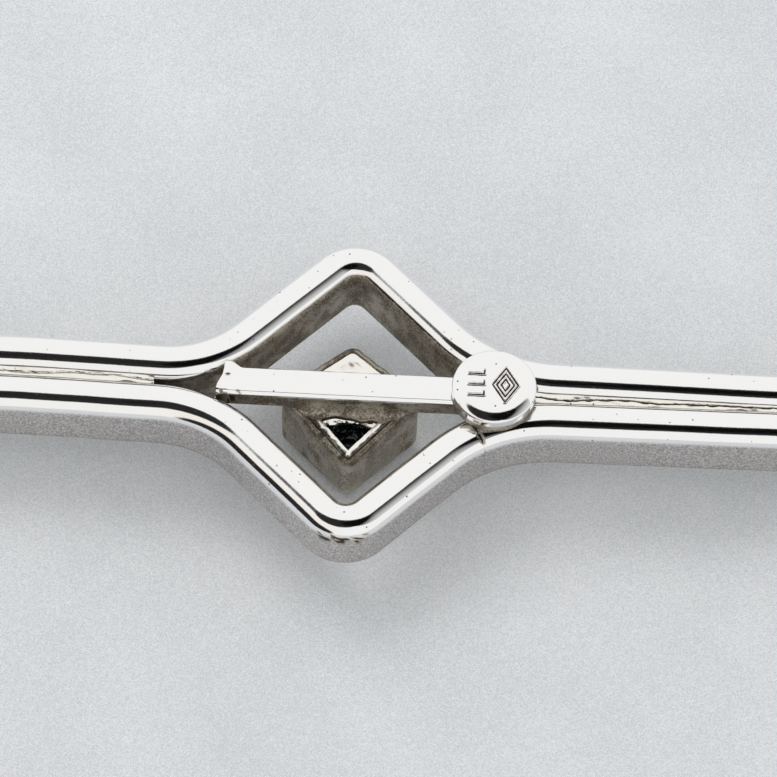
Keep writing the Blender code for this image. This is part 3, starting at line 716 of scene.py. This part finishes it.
half_gap = SEAM_GAP / 2
frame_path = np.concatenate([
    [cut_point(walk, top, UPPER_SEAM_X - half_gap)],
    walk[top + 1 : bottom - 1],
    [cut_point(walk, bottom, LOWER_SEAM_X - half_gap)],
])
arm_path = np.concatenate([
    [cut_point(walk, bottom, LOWER_SEAM_X + half_gap)],
    walk[bottom + 1 :],
    walk[: top - 1],
    [cut_point(walk, top, UPPER_SEAM_X + half_gap)],
])
dress(rail("frame_rail", frame_path, 1), "bar", "polished_silver", POLISHED, "frame_wire")
dress(rail("arm_rail", arm_path, 5), "bar", "polished_silver", POLISHED, "arm_wire")

# %% [markdown]
# ## The groove between the rails
# Where the rails run side by side, solder has filled the groove to a little below their backs. It
# is a narrow strip with an uneven top; at the right a ragged crack wanders along it. The strip is a
# grid: along the bar one way, across the top and round the underside the other way.

# %% Groove strips
STRIP_LOW_Z = FRONT_Z + 0.4
STRIP_FALL = 0.27  # of the strip's top below the rails' flat backs
STRIP_NECK_FALL = 0.62
SIDE_GAP = 0.02
STRIP_STEP = 0.07
STRIP_ACROSS = 31
CRACK_DEPTH = 0.14


def arm_offset(x):
    """How far the upper rail's middle line lies from the bar's, read off the rail loop."""
    upper = walk[walk[:, 1] > 0]
    upper = upper[np.argsort(upper[:, 0])]
    return np.interp(x, upper[:, 0], upper[:, 1])


def edge_inset(fall):
    """How far a rail's rounded back edge has drawn in where it is this far below the flat."""
    return BACK_EDGE - np.sqrt(BACK_EDGE**2 - (BACK_EDGE - fall) ** 2)


def crack_along(x, y, half, seed):
    """1 in a crack whose middle line and width are ripples along x, and 0 beside it."""
    wander = 0.45 * half * ripple(x, 0, 2.4, seed)[:, None]
    line = wander + 0.02 * ripple(x, 0, 0.4, seed + 2)[:, None]
    width = 0.045 + 0.02 * ripple(x, 0, 0.5, seed + 1)[:, None]
    return 1 - step_up(np.abs(y - line), 0.3 * width, width)


def groove_strip(name, start_x, end_x, crack, seed):
    """Top height = level + ripples that die out at both sides, less the crack.

    The top reaches out to the rounded edges; below the neck the strip is as wide as the groove.
    """
    x = np.linspace(start_x, end_x, int((end_x - start_x) / STRIP_STEP))
    neck = (arm_offset(x) - RAIL_HALF - SIDE_GAP)[:, None]
    half = neck + edge_inset(STRIP_FALL - 0.03)
    share = np.linspace(-1, 1, STRIP_ACROSS)
    y = half * share
    lumps = 0.02 * ripple(x[:, None], 3 * y, 2.2, seed)
    lumps = lumps + 0.008 * ripple(x[:, None], 2 * y, 0.7, seed + 1)
    trench = crack * crack_along(x, y, half, seed + 2)
    top_z = BACK_Z - STRIP_FALL + lumps * (1 - share**4) - CRACK_DEPTH * trench
    rows, across = top_z.shape
    points = np.empty((rows, across + 4, 3))
    points[:, :, 0] = x[:, None]
    points[:, :across, 1] = y
    points[:, :across, 2] = top_z
    points[:, across:, 1] = neck * np.array([1, 1, -1, -1])
    points[:, across:, 2] = BACK_Z - STRIP_NECK_FALL
    points[:, across + 1 : across + 3, 2] = STRIP_LOW_Z
    points[..., 1] += arm_bend(points[..., 0])
    worn = np.full((rows, across + 4), 0.9)
    worn[:, :across] = 0.1 + 1.5 * trench + 0.9 * step_up(np.abs(share), 0.8, 0.97)
    return surface(name, points, tarnish=worn)


for side, crack, seed in (("left", 0.3, 11), ("right", 1.0, 17)):
    strip_low, strip_high = box_mm(f"groove_strip_{side}")
    strip = groove_strip(f"groove_solder_{side}", strip_low[0], strip_high[0], crack, seed)
    dress(strip, "bar", "tarnished_silver", SOLDER, f"groove_strip_{side}")

# %% [markdown]
# ## The cross bar
# A flat strip of silver laid across the opening. Its back face is filed flat and its two long
# edges have a narrow chamfer that shines as a thin line. At its left end, which is cut on the
# slant, it is flooded with solder and spreads up to the upper rail, and its lower edge keeps a
# brown stain. We build it as a profile carried along the bar, whose upper side follows the flare.

# %% Cross bar
bar_low, bar_high = box_mm("cross_bar")
CROSS_Y = 0.06
CROSS_HALF = 0.6
CROSS_TOP, CROSS_BOTTOM = float(bar_high[2]), float(bar_low[2])
CROSS_STATIONS = 150
FLARE_START, FLARE_LENGTH, FLARE_GROWTH = 0.1, 0.9, 0.6
SLANT, SLANT_LENGTH = 0.3, 1.4
# One side of the bar from its foot to its back: how far in from the edge, how far below the back.
CROSS_SIDE = [
    (0.03, 0.85), (0, 0.82), (0, 0.24), (0, 0.15),
    (0.003, 0.13), (0.01, 0.115), (0.088, 0.016), (0.096, 0.006), (0.105, 0.0015), (0.118, 0),
]


def cross_bar():
    """The upper half grows as the smooth step of the distance to the left end, and so do lumps of
    solder on the back; the left end leans over by the slant as y grows."""
    inset, fall = np.array(CROSS_SIDE).T
    middle = np.linspace(-0.4, 0.4, 5)
    across = np.concatenate([inset - CROSS_HALF, middle, (CROSS_HALF - inset)[::-1]])
    below = np.concatenate([fall, np.zeros(len(middle)), fall[::-1]])
    left_end = bar_low[0]
    x = np.linspace(left_end, bar_high[0], CROSS_STATIONS)[:, None]
    flare = 1 - step_up(x, left_end + FLARE_START, left_end + FLARE_LENGTH)
    y = CROSS_Y + across * (1 + flare * FLARE_GROWTH * step_up(across, 0.1, 0.5))
    lumps = 0.05 * flare * ripple(x, y, 0.5, 23)
    z = CROSS_TOP - below + 0.006 * ripple(x, y, 2.5, 21) + lumps * (below < 0.5)
    y = y + 0.006 * ripple(x, z, 2.0, 22)
    lean = SLANT * step_up(across, -0.4, 0.5) * (1 - step_up(x, left_end, left_end + SLANT_LENGTH))
    points = np.stack([x + lean, y, z], -1)
    stain = step_up(-across, 0.42, 0.5) * step_up(-x, 3.9, 4.3)
    stain = stain * step_up(ripple(x, 2 * z, 0.35, 24), -0.1, 0.2)
    side = step_up(below, 0.13, 0.2)
    return surface("cross_strip", points, tarnish=0.9 * side + 0.9 * stain)


dress(cross_bar(), "bar", "polished_silver", POLISHED, "cross_bar")

# %% [markdown]
# ## The marked disc
# A thick round blank soldered over the right-hand junction. Makers strike fineness marks into such
# a disc; ours carries nested lozenges and three footed strokes instead. The back face is a polar
# grid fine enough to hold the marks: the height falls by the depth of each groove, which is a
# smooth step of the distance to a line, and the metal rises a little beside it as it does under a
# punch. The edge is two arcs, a gentle shoulder and a tight turn into the side.

# %% Marks
LOZENGE_X = 0.42
LOZENGES = ((0.48, 0.74), (0.33, 0.5), (0.16, 0.26))  # half width and half height of each
STROKE_START_X, STROKE_END_X, STROKE_PITCH, STROKE_FOOT = -0.95, -0.38, 0.46, 0.14


def stroke_distance(x, y, start, end):
    """The distance of each point to a straight stroke."""
    run = np.array(end, float) - np.array(start, float)
    share = np.clip(((x - start[0]) * run[0] + (y - start[1]) * run[1]) / (run @ run), 0, 1)
    return np.hypot(x - start[0] - share * run[0], y - start[1] - share * run[1])


def mark_strokes():
    """Lozenges within each other on the right, three strokes with short feet on the left."""
    strokes = []
    for wide, tall in LOZENGES:
        right, left = (LOZENGE_X + wide, 0), (LOZENGE_X - wide, 0)
        corners = [right, (LOZENGE_X, tall), left, (LOZENGE_X, -tall)]
        strokes += list(zip(corners, corners[1:] + corners[:1]))
    for y in (-STROKE_PITCH, 0.0, STROKE_PITCH):
        end = (STROKE_END_X, y)
        strokes.append(((STROKE_START_X, y), end))
        strokes.append((end, (STROKE_END_X, y + STROKE_FOOT)))
    return strokes


print("strokes in the marks:", len(mark_strokes()))

# %% Marked disc
disc_low, disc_high = box_mm("hallmark_disc")
DISC_MIDDLE = (disc_low[:2] + disc_high[:2]) / 2
DISC_RADIUS = 1.59
DISC_TOP, DISC_BASE = float(disc_high[2]), float(disc_low[2])
DISC_SHOULDER, DISC_EDGE = 0.78, 0.11  # radii of the gentle shoulder and of the tight edge
SHOULDER_TURN = math.radians(31)
DISC_SPOKES = 380
MARK_WIDTH, MARK_DEPTH, BURR_HEIGHT = 0.042, 0.05, 0.014


def disc_section():
    """Radius and depth below the top, from the middle out, over both arcs and down the side."""
    gentle = np.linspace(0, SHOULDER_TURN, 30)[1:]
    tight = np.linspace(SHOULDER_TURN, math.pi / 2, 10)[1:]
    flat_end = DISC_RADIUS - DISC_EDGE - (DISC_SHOULDER - DISC_EDGE) * math.sin(SHOULDER_TURN)
    low_centre = (DISC_SHOULDER - DISC_EDGE) * math.cos(SHOULDER_TURN)
    flat = np.linspace(0.02, flat_end, 78)
    out = [flat_end + DISC_SHOULDER * np.sin(gentle), DISC_RADIUS - DISC_EDGE * (1 - np.sin(tight))]
    rise = [DISC_SHOULDER * np.cos(gentle), low_centre + DISC_EDGE * np.cos(tight)]
    fall = DISC_SHOULDER - np.concatenate(rise)
    wall = np.linspace(fall[-1] + 0.06, DISC_TOP - DISC_BASE, 8)
    radius = np.concatenate([flat, *out, np.full(len(wall), DISC_RADIUS)])
    return radius, np.concatenate([np.zeros(len(flat)), fall, wall])


def marked_disc():
    """Rings of the section; the top falls in the marks' grooves and rises in the burr beside them."""
    radius, below = disc_section()
    angle = np.linspace(0, 2 * math.pi, DISC_SPOKES, endpoint=False)
    x, y = np.outer(radius, np.cos(angle)), np.outer(radius, np.sin(angle))
    below = below[:, None]
    near = np.min([stroke_distance(x, y, *stroke) for stroke in mark_strokes()], axis=0)
    near = near + 0.012 * ripple(x, y, 0.22, 31)
    groove = 1 - step_up(near, 0.25 * MARK_WIDTH, MARK_WIDTH)
    burr = np.exp(-(((near - 1.5 * MARK_WIDTH) / (0.5 * MARK_WIDTH)) ** 2))
    on_top = 1 - step_up(below, 0.02, 0.06)
    z = DISC_TOP - below + on_top * (BURR_HEIGHT * burr - MARK_DEPTH * groove)
    z = z + 0.004 * ripple(x, y, 1.6, 32) * (below < 0.5)
    points = np.stack([x + DISC_MIDDLE[0], y + DISC_MIDDLE[1], z], -1)
    worn = 1.7 * on_top * groove + 0.9 * step_up(below, 0.34, 0.55)
    return surface("marked_disc", points, tarnish=worn, sharp=math.radians(50))


dress(marked_disc(), "bar", "polished_silver", POLISHED, "hallmark_disc")

# %% [markdown]
# ## The collet and its seat
# The stone sits in a square box on its corner. The box's back rim slopes down from the cross bar to
# the two free corners. The walls were never polished after soldering, so they keep a brown skin.
# Inside it a second ring, the seat, holds the stone; its rim was cut bright. Both are profiles
# carried round a rounded square, and a point's height is a fixed height plus a share of the rim's
# height at that place.

# %% Rim and box wall
COLLET_HALF_SIDE, COLLET_CORNER, COLLET_WALL = 1.935, 0.45, 0.235
SEAT_GAP, SEAT_CORNER = 0.02, 0.2
RIDGE_Z = CROSS_BOTTOM - 0.02
CORNER_Z = 2.7
COLLET_REACH = 2.55
BOX_STEP, SEAT_STEP = 0.05, 0.04


def box_outline(half_side, corner, step):
    """A square on its corner, with rounded corners."""
    reach = half_side * math.sqrt(2)
    corners = [(reach, 0, corner), (0, reach, corner), (-reach, 0, corner), (0, -reach, corner)]
    return even_walk(round_corners(corners, 14), step)


def rim_height(y):
    """The rim is level under the cross bar and falls evenly to the top and bottom corners."""
    slope = (RIDGE_Z - CORNER_Z) / (COLLET_REACH - CROSS_HALF)
    return RIDGE_Z - slope * np.clip(np.abs(y) - CROSS_HALF, 0, None)


def box_wall(name, outline, section, seed, rough):
    """Carries (inward, height, share, tarnish) points round an outline: a point lies this far
    inward, at height + share * rim height. Both get a ripple, and tarnish gets spots."""
    inward, height, rim_share, tarnish = np.array(section).T
    left = sideways(outline, True)
    walked = np.arange(len(outline))[:, None] * BOX_STEP
    across = inward + rough * ripple(walked, height, 0.6, seed)
    points = np.empty((len(outline), len(inward), 3))
    points[..., :2] = outline[:, None, :] + left[:, None, :] * across[..., None]
    z = height + rim_share * rim_height(points[..., 1])
    points[..., 2] = z + rough * rim_share * ripple(walked, across, 0.5, seed + 1)
    spots = step_up(ripple(walked, 2 * z, 0.8, seed + 2), 0.4, 0.55)
    return surface(name, points, tarnish=tarnish + 0.3 * spots, ring=True)


print("rim height at the middle and at a corner:", rim_height(np.array([0, COLLET_REACH])))

# %% Collet and seat


def collet():
    """Up the outer wall, over the lumpy rim, down the inner wall and back under the lip."""
    section = [
        (0, 0.62, 0, 0.55), (0, 0, 0.4, 0.6), (0, 0, 0.7, 0.65), (0, 0, 0.9, 0.72),
        (0, -0.09, 1, 0.8), (0.02, -0.03, 1, 0.9), (0.06, 0, 1, 1), (0.12, 0.01, 1, 1),
        (0.18, -0.01, 1, 1), (0.215, -0.05, 1, 1), (0.235, -0.12, 1, 1), (0.235, -0.9, 1, 1),
        (0.235, 0.5, 0, 0.5), (0.425, 0.3, 0, 0.1), (0.425, 0.2, 0, 0.1),
        (0.35, 0.14, 0, 0), (0.2, 0.22, 0, 0), (0.06, 0.4, 0, 0.1),
    ]
    outline = box_outline(COLLET_HALF_SIDE, COLLET_CORNER, BOX_STEP)
    return box_wall("collet_box", outline, section, 41, 0.024)


def seat():
    """Up the outer side, over the bright bevel that falls inwards and down the bore."""
    low_z = float(box_mm("stone_seat")[0][2])
    section = [
        (0, low_z, 0, 0.5), (0, 0, 0.5, 0.7), (0, -0.08, 1, 0.7), (0.03, -0.03, 1, 0.35),
        (0.09, -0.035, 1, 0), (0.2, -0.07, 1, 0), (0.27, -0.1, 1, 0),
        (0.28, -0.17, 1, 0.1), (0.28, 0, 0.5, 0.25), (0.28, low_z, 0, 0.3),
    ]
    half_side = COLLET_HALF_SIDE - COLLET_WALL - SEAT_GAP
    outline = box_outline(half_side, SEAT_CORNER, SEAT_STEP)
    return box_wall("seat_ring", outline, section, 45, 0.01)


dress(collet(), "bar", "polished_silver", RECESS, "collet")
dress(seat(), "bar", "tarnished_silver", SOLDER, "stone_seat")

# %% [markdown]
# ## Solder
# Solder runs where it is hot and leaves soft sloping fillets. Two show on the collet: a flooded
# patch that closes the box's upper corner and runs on under the cross bar, with a torn lower edge,
# and a rough brown ridge along the lower side of the bar. Each is a small grid with a lumpy top.

# %% Corner solder
CORNER_START_Y = -0.72
CORNER_THICKNESS = 0.35
CORNER_TEAR = 0.16


def corner_solder():
    """A lumpy sheet that fills the box's width at each y. Its top lies just under the rim and sinks
    as it leaves the corner, its edges are rounded, and its lower edge is torn by a ripple."""
    inner = (COLLET_HALF_SIDE - COLLET_WALL * 0.6) * math.sqrt(2)
    share_x = np.linspace(-1, 1, 70)
    share_y = np.linspace(0, 1, 50)[:, None]
    y_line = CORNER_START_Y + (inner - 0.3 - CORNER_START_Y) * share_y
    x = np.clip(inner - np.abs(y_line) - 0.06, 0.05, None) * share_x
    y = y_line + CORNER_TEAR * ripple(x, 0, 0.28, 51) * (1 - share_y) ** 2
    level = rim_height(y) - 0.1 - 0.25 * step_up(-y, -0.2, 0.9)
    rim = np.minimum(step_up(share_y, 0, 0.15), 1 - step_up(np.abs(share_x), 0.9, 1))
    z = level + 0.035 * ripple(x, y, 0.55, 52) - CORNER_THICKNESS * 0.8 * (1 - rim)
    above, under = np.stack([x, y, z], -1), np.stack([x, y, level - CORNER_THICKNESS], -1)
    worn = np.concatenate([np.zeros(z.shape), np.full(z.shape, 0.8)], 1)
    grid = np.concatenate([above, under[:, ::-1]], 1)
    return surface("corner_solder", grid, tarnish=worn, sharp=None)


dress(corner_solder(), "bar", "polished_silver", SOLDER)

# %% Bar fillet
FILLET_START_X, FILLET_END_X = -2.25, 2.3
FILLET_FADE = 2.32  # half the length over which the fillet dies out
FILLET_REACH, FILLET_RISE = 0.42, 0.62


def bar_fillet():
    """A ridge along the bar's lower side: its section falls as a hollow curve from bar to rim."""
    x = np.linspace(FILLET_START_X, FILLET_END_X, 120)[:, None]
    share = np.linspace(0, 1, 16)
    ends = np.clip(1 - np.abs(x / FILLET_FADE) ** 4, 0.02, None)
    reach = FILLET_REACH * ends * (1 + 0.35 * ripple(x, 0, 0.9, 61))
    y = CROSS_Y - CROSS_HALF + 0.05 - reach * share
    z = RIDGE_Z - 0.05 + FILLET_RISE * ends * (1 - share) ** 1.8 + 0.03 * ripple(x, y, 0.3, 62)
    floor_z = np.full((len(x), 2), RIDGE_Z - 0.3)
    y_all = np.concatenate([y, y[:, -1:], y[:, :1]], 1)
    z_all = np.concatenate([z, floor_z], 1)
    points = np.stack([np.broadcast_to(x, y_all.shape), y_all, z_all], -1)
    return surface("bar_fillet", points, tarnish=0.85, sharp=None)


dress(bar_fillet(), "bar", "tarnished_silver", RECESS)

# %% [markdown]
# ## The stone
# A very dark square stone, cut in steps: each step is a square with its corners cut off, smaller
# and further back than the last. It is shaded flat, so every facet mirrors one place.

# %% Stone
STONE_REACH = float(box_mm("stone")[1][0])
STONE_CUT = 0.06  # of the corners, as a share of the reach
# Each step's share of the reach and its height, from the table at the front to the back.
STONE_STEPS = [
    (0.66, 0), (0.84, 0.22), (0.975, 0.5), (0.975, 0.6), (0.72, 0.98), (0.42, 1.28), (0.16, 1.44),
]
NEARLY_BLACK, COOL_GLINT = (0.004, 0.004, 0.006, 1), (0.01, 0.05, 0.06, 1)
WARM_GLINT = (0.07, 0.012, 0.01, 1)


def facet_ring(half_diagonal, cut):
    """Eight corners of a square on its corner whose four corners are cut off."""
    angle = np.arange(4) * math.pi / 2
    outwards = np.stack([np.cos(angle), np.sin(angle)], -1)
    aside = np.stack([-np.sin(angle), np.cos(angle)], -1)
    long, short = half_diagonal * (1 - cut) * outwards, half_diagonal * cut * aside
    return np.stack([long - short, long + short], 1).reshape(-1, 2)


def stone():
    """One ring of eight corners to a step, shaded flat."""
    rings = [
        np.column_stack([facet_ring(share * STONE_REACH, STONE_CUT), np.full(8, height)])
        for share, height in STONE_STEPS
    ]
    made = surface("dark_stone", np.array(rings), sharp=None)
    made.data.shade_flat()
    return made


def stone_material():
    """Nearly black, glossy, with faint blue and red painted glints that change from place to place."""
    made, tree, shader, place = start_material("dark_stone")
    spots = noise(tree, place, 3800.0, 3.0)
    cool = blend_colour(tree, ramp(tree, spots, 0.45, 0.7), NEARLY_BLACK, COOL_GLINT)
    warm = blend_colour(tree, ramp(tree, spots, 0.36, 0.3), cool, WARM_GLINT)
    tree.links.new(warm, shader.inputs["Base Color"])
    shader.inputs["Roughness"].default_value = 0.04
    shader.inputs["IOR"].default_value = 2.0
    inputs = {"Height": spots, "Strength": 1.0, "Distance": 0.16 * MM}
    scratches = node(tree, "ShaderNodeBump", inputs).outputs[0]
    tree.links.new(scratches, shader.inputs["Normal"])
    return made


dress(stone(), "bar", "dark_stone", stone_material(), "stone")

# %% [markdown]
# ## Fittings
# The hinge and the catch are small folded and turned parts. Their CAD shapes are right, but their
# edges are knife-sharp, which real metal never is. We copy each mesh, merge its loose triangles,
# join flat neighbours, and let a narrow Bevel modifier soften every edge.

# %% Softened fittings
FITTING = silver("fitting_silver", tone=(0.8, 0.79, 0.77, 1), roughness=0.17, dirt=0.14, grain=0.5)
WIRE_TONE = (0.72, 0.72, 0.715, 1)
WIRE = silver("pin_wire", tone=WIRE_TONE, roughness=0.16, dirt=-0.1, grain=0.2, pits=0.03)
FITTING_TARNISH = 0.08
MERGE_DISTANCE = 0.001 * MM
FLAT = math.radians(1)


def welded_copy(node_name, name):
    """A CAD node's mesh with its doubles merged and its flat neighbours joined."""
    work = bmesh.new()
    work.from_mesh(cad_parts[node_name].data)
    bmesh.ops.remove_doubles(work, verts=work.verts, dist=MERGE_DISTANCE)
    bmesh.ops.dissolve_limit(work, angle_limit=FLAT, verts=work.verts, edges=work.edges)
    mesh = bpy.data.meshes.new(name)
    work.to_mesh(mesh)
    work.free()
    return mesh


def softened(node_name, name, body, slot, material, width):
    """A welded copy of a CAD node whose sharp edges are softened over this width."""
    mesh = welded_copy(node_name, name)
    worn = np.full(len(mesh.vertices), FITTING_TARNISH, np.float32)
    mesh.attributes.new("tarnish", "FLOAT", "POINT").data.foreach_set("value", worn)
    mesh.shade_smooth()
    mesh.set_sharp_from_angle(angle=SHARP)
    made = bpy.data.objects.new(name, mesh)
    bpy.context.scene.collection.objects.link(made)
    bevel = made.modifiers.new("soft_edges", "BEVEL")
    bevel.width = width * MM
    bevel.segments = 2
    bevel.limit_method = "ANGLE"
    bevel.angle_limit = SHARP
    print(f"{name}: {len(mesh.polygons)} faces before its edges are softened")
    return dress(made, body, slot, material, node_name)


softened("hinge_patch", "hinge_plate", "bar", "polished_silver", FITTING, 0.06)
softened("hinge_bracket", "hinge_fork", "bar", "polished_silver", FITTING, 0.05)
softened("hinge_rivet", "rivet", "bar", "pin_wire", WIRE, 0.04)
softened("pin_knuckle", "knuckle", "stem", "polished_silver", FITTING, 0.03)
softened("pin_stem", "stem_wire", "stem", "pin_wire", WIRE, 0.02)
softened("catch_patch", "catch_plate", "bar", "polished_silver", FITTING, 0.06)
softened("catch_housing", "catch_tube", "bar", "polished_silver", FITTING, 0.04)
softened("catch_rotor", "rotor_drum", "rotor", "polished_silver", FITTING, 0.03)
softened("rotor_lever", "lever", "rotor", "polished_silver", FITTING, 0.03)
